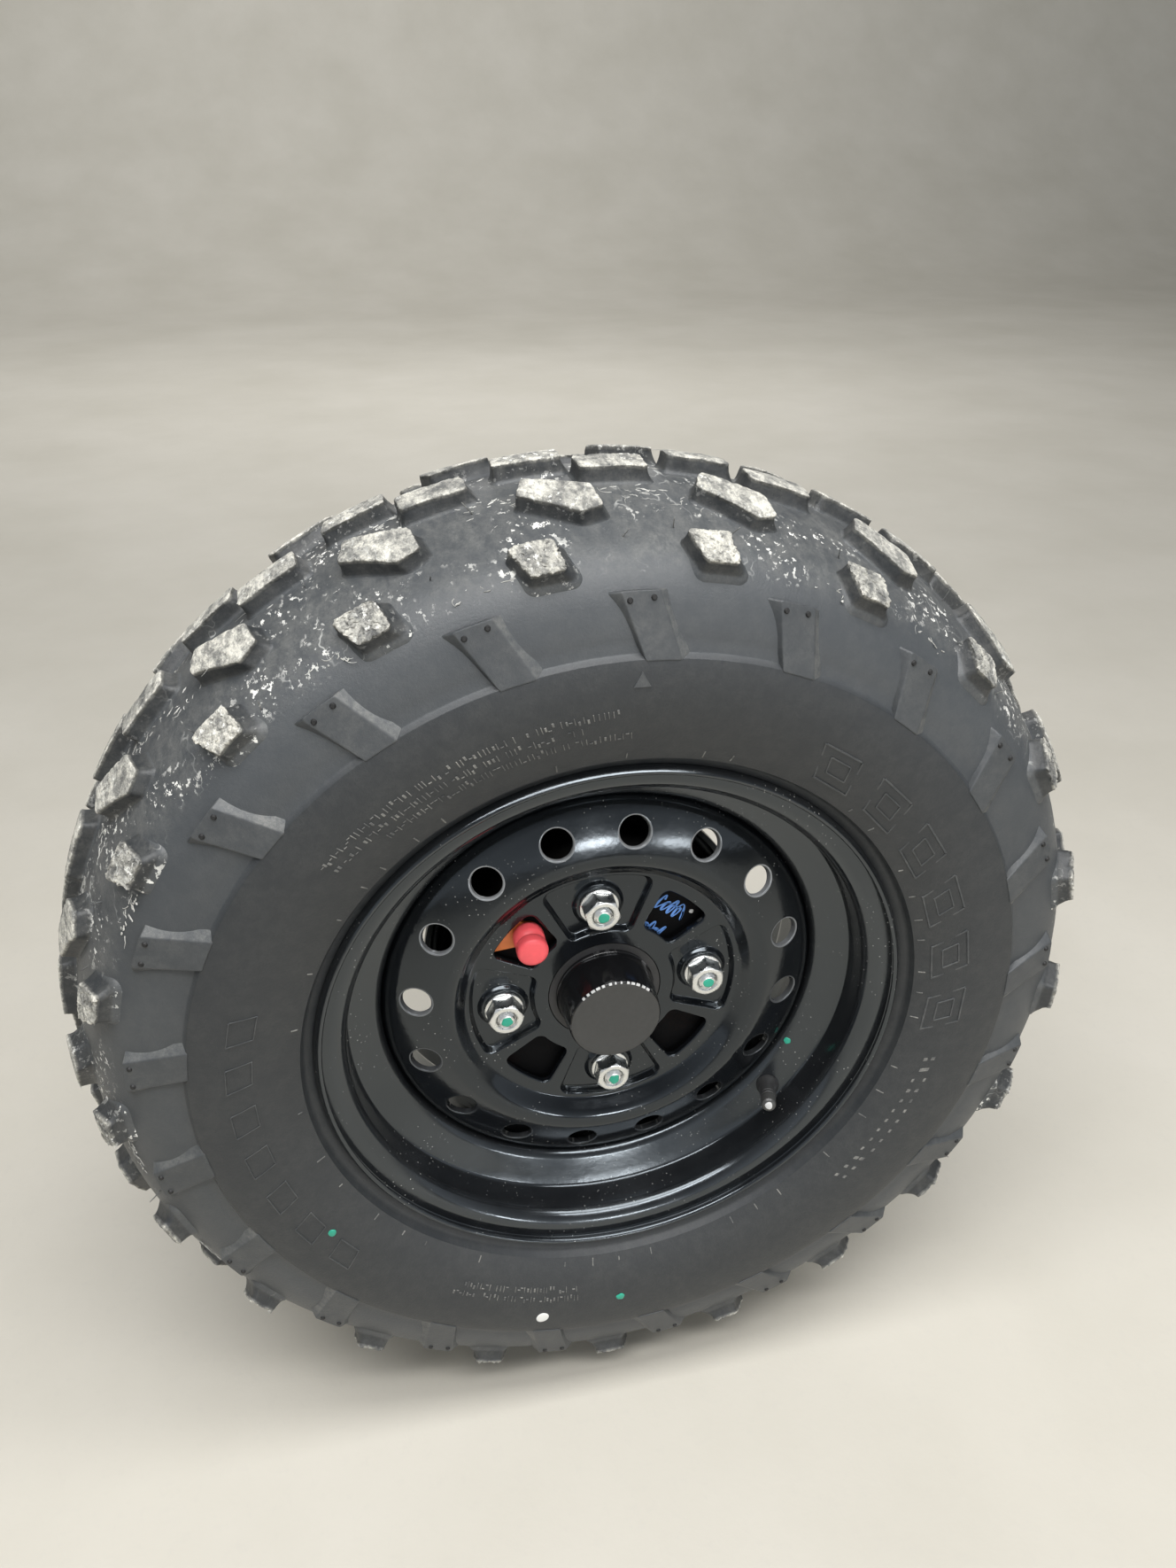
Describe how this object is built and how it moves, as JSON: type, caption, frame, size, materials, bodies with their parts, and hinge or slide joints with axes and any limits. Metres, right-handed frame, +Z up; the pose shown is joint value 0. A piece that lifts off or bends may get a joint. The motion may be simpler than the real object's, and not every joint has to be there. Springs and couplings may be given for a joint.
{
  "type": "quad bike front wheel",
  "caption": "Off-road front wheel with lugged tyre, pressed steel rim, drum brake hub and steering knuckle with its spindle.",
  "frame": {"origin": "centre of the knuckle's lower ball joint bore", "axes": "-Y outboard along the wheel's axle, +X to the rear of the vehicle, +Z up"},
  "size_m": [0.5543, 0.1788, 0.5542],
  "materials": {
    "tyre": "matt black rubber with dusty lugs",
    "rim_paint": "gloss black paint",
    "valve_rubber": "satin black rubber",
    "hub_paint": "satin black paint",
    "drum_iron": "black painted cast iron",
    "cap_plastic": "matt dark grey plastic",
    "red_plastic": "satin red plastic",
    "orange_plastic": "satin orange plastic",
    "zinc": "bright zinc plate",
    "knuckle_paint": "black painted forging",
    "panel_paint": "satin black paint",
    "cylinder_metal": "cast light alloy"
  },
  "bodies": {
    "knuckle": {"knuckle": "knuckle_paint", "brake_panel": "panel_paint", "brake_cylinder": "cylinder_metal", "bleed_screw": "zinc", "panel_bolt_1": "zinc", "panel_bolt_2": "zinc", "panel_bolt_3": "zinc", "panel_bolt_4": "zinc"},
    "wheel": {"tyre": "tyre", "rim_barrel": "rim_paint", "wheel_disc": "rim_paint", "valve_stem": "valve_rubber", "valve_cap": "valve_rubber", "hub": "hub_paint", "brake_drum": "drum_iron", "centre_cap": "cap_plastic", "drum_plug": "red_plastic", "plug_tab": "orange_plastic", "stud_1": "zinc", "wheel_nut_1": "zinc", "stud_2": "zinc", "wheel_nut_2": "zinc", "stud_3": "zinc", "wheel_nut_3": "zinc", "stud_4": "zinc", "wheel_nut_4": "zinc"}
  },
  "joints": [
    {"name": "wheel_spin", "type": "hinge", "parent": "knuckle", "child": "wheel", "pos_m": [0, -0.04, 0.074], "axis": [0, 1, 0], "continuous": true}
  ]
}
